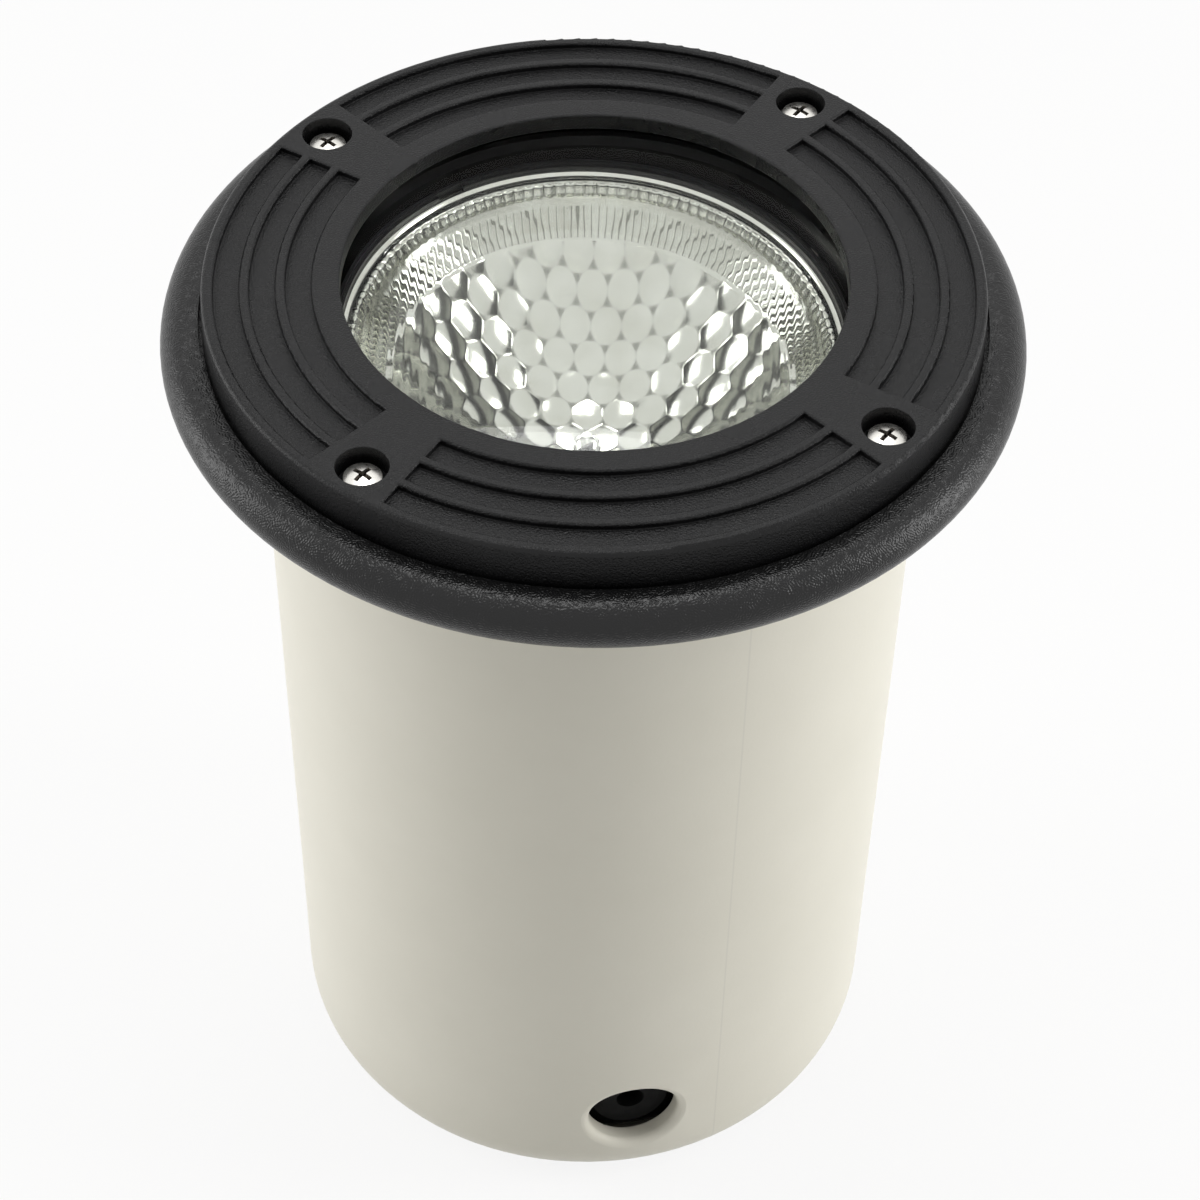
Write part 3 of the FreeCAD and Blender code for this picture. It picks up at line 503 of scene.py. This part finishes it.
def bowl_relief(x, y):
    """Relief of the bowl's inner face, 0 in the creases and 1 on the crests, and its rise in metres."""
    radius = numpy.hypot(x, y)
    turn = CAMERA_ANGLE + math.pi / 2
    across = x * math.cos(turn) + y * math.sin(turn)
    along = y * math.cos(turn) - x * math.sin(turn)
    relief = numpy.where(radius < FACETS_END, facet_height(across, along), 1.0)
    rise = numpy.where(radius < FACETS_END, FACET_RISE * relief, 0.0)
    for start, end, count, height in (INNER_FLUTES, OUTER_FLUTES):
        phase = numpy.arctan2(y, x) * count / (2 * math.pi) % 1 * 2 - 1
        band = (radius >= start) & (radius < end)
        relief = numpy.where(band, 1 - phase ** 2, relief)
        rise = numpy.where(band, height * (1 - phase ** 2), rise)
    return relief, rise


def bowl_curve(radii):
    """Height of the paraboloid over its lowest point."""
    return (BOWL_DEPTH - BOWL_MOUTH_DEPTH) * (radii / BOWL_MOUTH) ** 2


def make_reflector():
    """Faceted bowl with its rim, outer shell and neck."""
    inner = numpy.linspace(BOWL_FLAT, BOWL_MOUTH, BOWL_RINGS)
    floor = RIM_HEIGHT - BOWL_DEPTH
    shell = numpy.linspace(SHELL_RADIUS, NECK_RADIUS, SHELL_RINGS)
    shell_heights = floor - SHELL_WALL + bowl_curve(shell - SHELL_WALL)
    radii = numpy.concatenate([[0.0], inner, RIM_RADII, shell, [NECK_RADIUS, 0.0]])
    rim = RIM_HEIGHT - numpy.array(RIM_DEPTHS)
    neck = [floor - NECK_LENGTH, floor - NECK_LENGTH]
    heights = numpy.concatenate([[floor], floor + bowl_curve(inner), rim, shell_heights, neck])

    def lift(x, y, z):
        radius = numpy.maximum(numpy.hypot(x, y), 1e-6)
        slope = 2 * (BOWL_DEPTH - BOWL_MOUTH_DEPTH) * radius / BOWL_MOUTH ** 2
        upright = 1 / numpy.sqrt(1 + slope ** 2)
        rise = bowl_relief(x, y)[1]
        rise[:, :1] = 0.0
        rise[:, 1 + len(inner):] = 0.0
        inward = rise * slope * upright / radius
        return x - x * inward, y - y * inward, z + rise * upright

    bowl = revolved("faceted_reflector", radii, heights, BOWL_STEPS, lift)
    # creases=True paints shade into the creases between the facets
    bowl.data.materials.append(mirror("reflector_coating", creases=True))
    places = numpy.empty(len(bowl.data.vertices) * 3)
    bowl.data.vertices.foreach_get("co", places)
    places = places.reshape(-1, 3)
    relief = bowl_relief(places[:, 0], places[:, 1])[0]
    attribute = bowl.data.attributes.new("relief", "FLOAT", "POINT")
    attribute.data.foreach_set("value", relief.astype(numpy.float32))
    bowl.matrix_world = lamp_matrix()
    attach(bowl, "lamp")
    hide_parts("lamp_reflector")


def lens_crown(radii):
    """Height of the lens's dome over its flat edge band."""
    edge = LENS_RADIUS - LENS_BAND
    sphere = (edge ** 2 + LENS_CROWN ** 2) / (2 * LENS_CROWN)
    inside = numpy.minimum(radii, edge)
    return LENS_CROWN - sphere + numpy.sqrt(sphere ** 2 - inside ** 2)


def make_lens():
    """Domed lens: smooth outside, fluted inside towards the edge."""
    across = numpy.linspace(0.0, LENS_RADIUS, LENS_RINGS)
    low = RIM_HEIGHT - BOWL_MOUTH_DEPTH + lens_crown(across)
    radii = numpy.concatenate([across, across[::-1]])
    heights = numpy.concatenate([low + LENS_THICKNESS, low[::-1]])
    lens = revolved("fluted_lens", radii, heights, LENS_STEPS)
    lens.data.materials.append(clear_glass("lens_outside", LENS_INDEX))
    lens.data.materials.append(fluted_glass())
    for polygon in lens.data.polygons:
        polygon.material_index = int(polygon.index % (len(radii) - 1) >= len(across))
    lens.matrix_world = lamp_matrix()
    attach(lens, "lamp")
    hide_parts("lamp_lens")


make_reflector()
make_lens()

# ---------------------------------------------------------------- studio
STUDIO_FRONT = (0.02, 0.02, 0.02)       # light that reaches matt surfaces from each side
STUDIO_BACK = (0.60, 0.60, 0.60)
STUDIO_TOP = (0.90, 0.90, 0.90)
STUDIO_SIDES = (1.10, 1.10, 1.10)
BACK_FADE = (-0.25, 0.45)               # each takes over between these parts of a unit direction
TOP_FADE = (0.78, 0.94)
SIDE_FADE = (0.50, 0.85)
WHITE = (1.0, 1.0, 1.0)
FLOOR_HALF = 6.0
FLOOR_TONE = (0.80, 0.795, 0.78)
LAMP_TARGET = (0, 0, 0.16)
LAMPS = (                               # name, degrees from the camera, distance, height, size, watts
    ("left_lamp", -98, 1.1, 0.50, (0.45, 1.2), 5.5),
    ("top_lamp", 180, 0.40, 1.50, (0.45, 0.45), 3.6),
    ("right_lamp", 88, 1.1, 0.50, (0.30, 1.2), 6.6),
)
FLOOR_GLOW = 0.87                       # share that is plain white; the rest takes the shadow


def make_floor():
    """Pale floor that reads white to the camera and keeps a soft shadow."""
    mesh = bpy.data.meshes.new("floor")
    corners = [(x * FLOOR_HALF, y * FLOOR_HALF, 0) for x, y in ((-1, -1), (1, -1), (1, 1), (-1, 1))]
    mesh.from_pydata(corners, [], [(0, 1, 2, 3)])
    floor = bpy.data.objects.new("floor", mesh)
    bpy.context.collection.objects.link(floor)
    material, tree, shader = new_material("floor")
    shader.inputs["Base Color"].default_value = (*FLOOR_TONE, 1)
    shader.inputs["Roughness"].default_value = 0.9
    glow = tree.nodes.new("ShaderNodeEmission")
    glow.inputs["Strength"].default_value = 1.0
    mix = tree.nodes.new("ShaderNodeMixShader")
    tree.links.new(calculate(tree, "MULTIPLY", shows_background(tree), FLOOR_GLOW), mix.inputs[0])
    tree.links.new(shader.outputs[0], mix.inputs[1])
    tree.links.new(glow.outputs[0], mix.inputs[2])
    tree.links.new(mix.outputs[0], tree.nodes["Material Output"].inputs["Surface"])
    mesh.materials.append(material)


def area_light(name, place, target, size, power):
    """A soft rectangular lamp aimed at a point."""
    data = bpy.data.lights.new(name, "AREA")
    data.shape = "RECTANGLE"
    data.size, data.size_y = size
    data.energy = power
    lamp = bpy.data.objects.new(name, data)
    lamp.location = place
    lamp.rotation_euler = (Vector(target) - Vector(place)).to_track_quat("-Z", "Y").to_euler()
    bpy.context.collection.objects.link(lamp)


def around(angle_deg, distance, height):
    """A place round the object; 0 is towards the camera, positive to its right."""
    angle = CAMERA_ANGLE + math.radians(angle_deg)
    return (distance * math.cos(angle), distance * math.sin(angle), height)


def shows_background(tree):
    """1 for rays that see the white background: camera, glossy and transmission rays."""
    path = tree.nodes.new("ShaderNodeLightPath")
    seen = calculate(tree, "MAXIMUM", path.outputs["Is Camera Ray"], path.outputs["Is Glossy Ray"])
    return calculate(tree, "MAXIMUM", seen, path.outputs["Is Transmission Ray"])


def studio_tent(tree, split):
    """Soft light: dim towards the camera, bright at the sides and overhead."""
    colour = mixed(tree, soft_step(tree, split["Y"], *BACK_FADE), STUDIO_FRONT, STUDIO_BACK)
    colour = mixed(tree, soft_step(tree, split["Z"], *TOP_FADE), colour, STUDIO_TOP)
    sideways = calculate(tree, "ABSOLUTE", split["X"])
    return mixed(tree, soft_step(tree, sideways, *SIDE_FADE), colour, STUDIO_SIDES)


def make_world():
    """Soft light on matt surfaces, and the white background wherever that is seen or reflected."""
    world = bpy.data.worlds.new("world")
    world.use_nodes = True
    tree = world.node_tree
    direction = tree.nodes.new("ShaderNodeTexCoord").outputs["Generated"]
    tent = studio_tent(tree, split_xyz(tree, turned_to_front(tree, direction)))
    seen = mixed(tree, shows_background(tree), tent, WHITE)
    tree.links.new(seen, tree.nodes["Background"].inputs["Color"])
    bpy.context.scene.world = world


make_floor()
make_world()
for name, angle, distance, height, size, power in LAMPS:
    area_light(name, around(angle, distance, height), LAMP_TARGET, size, power)
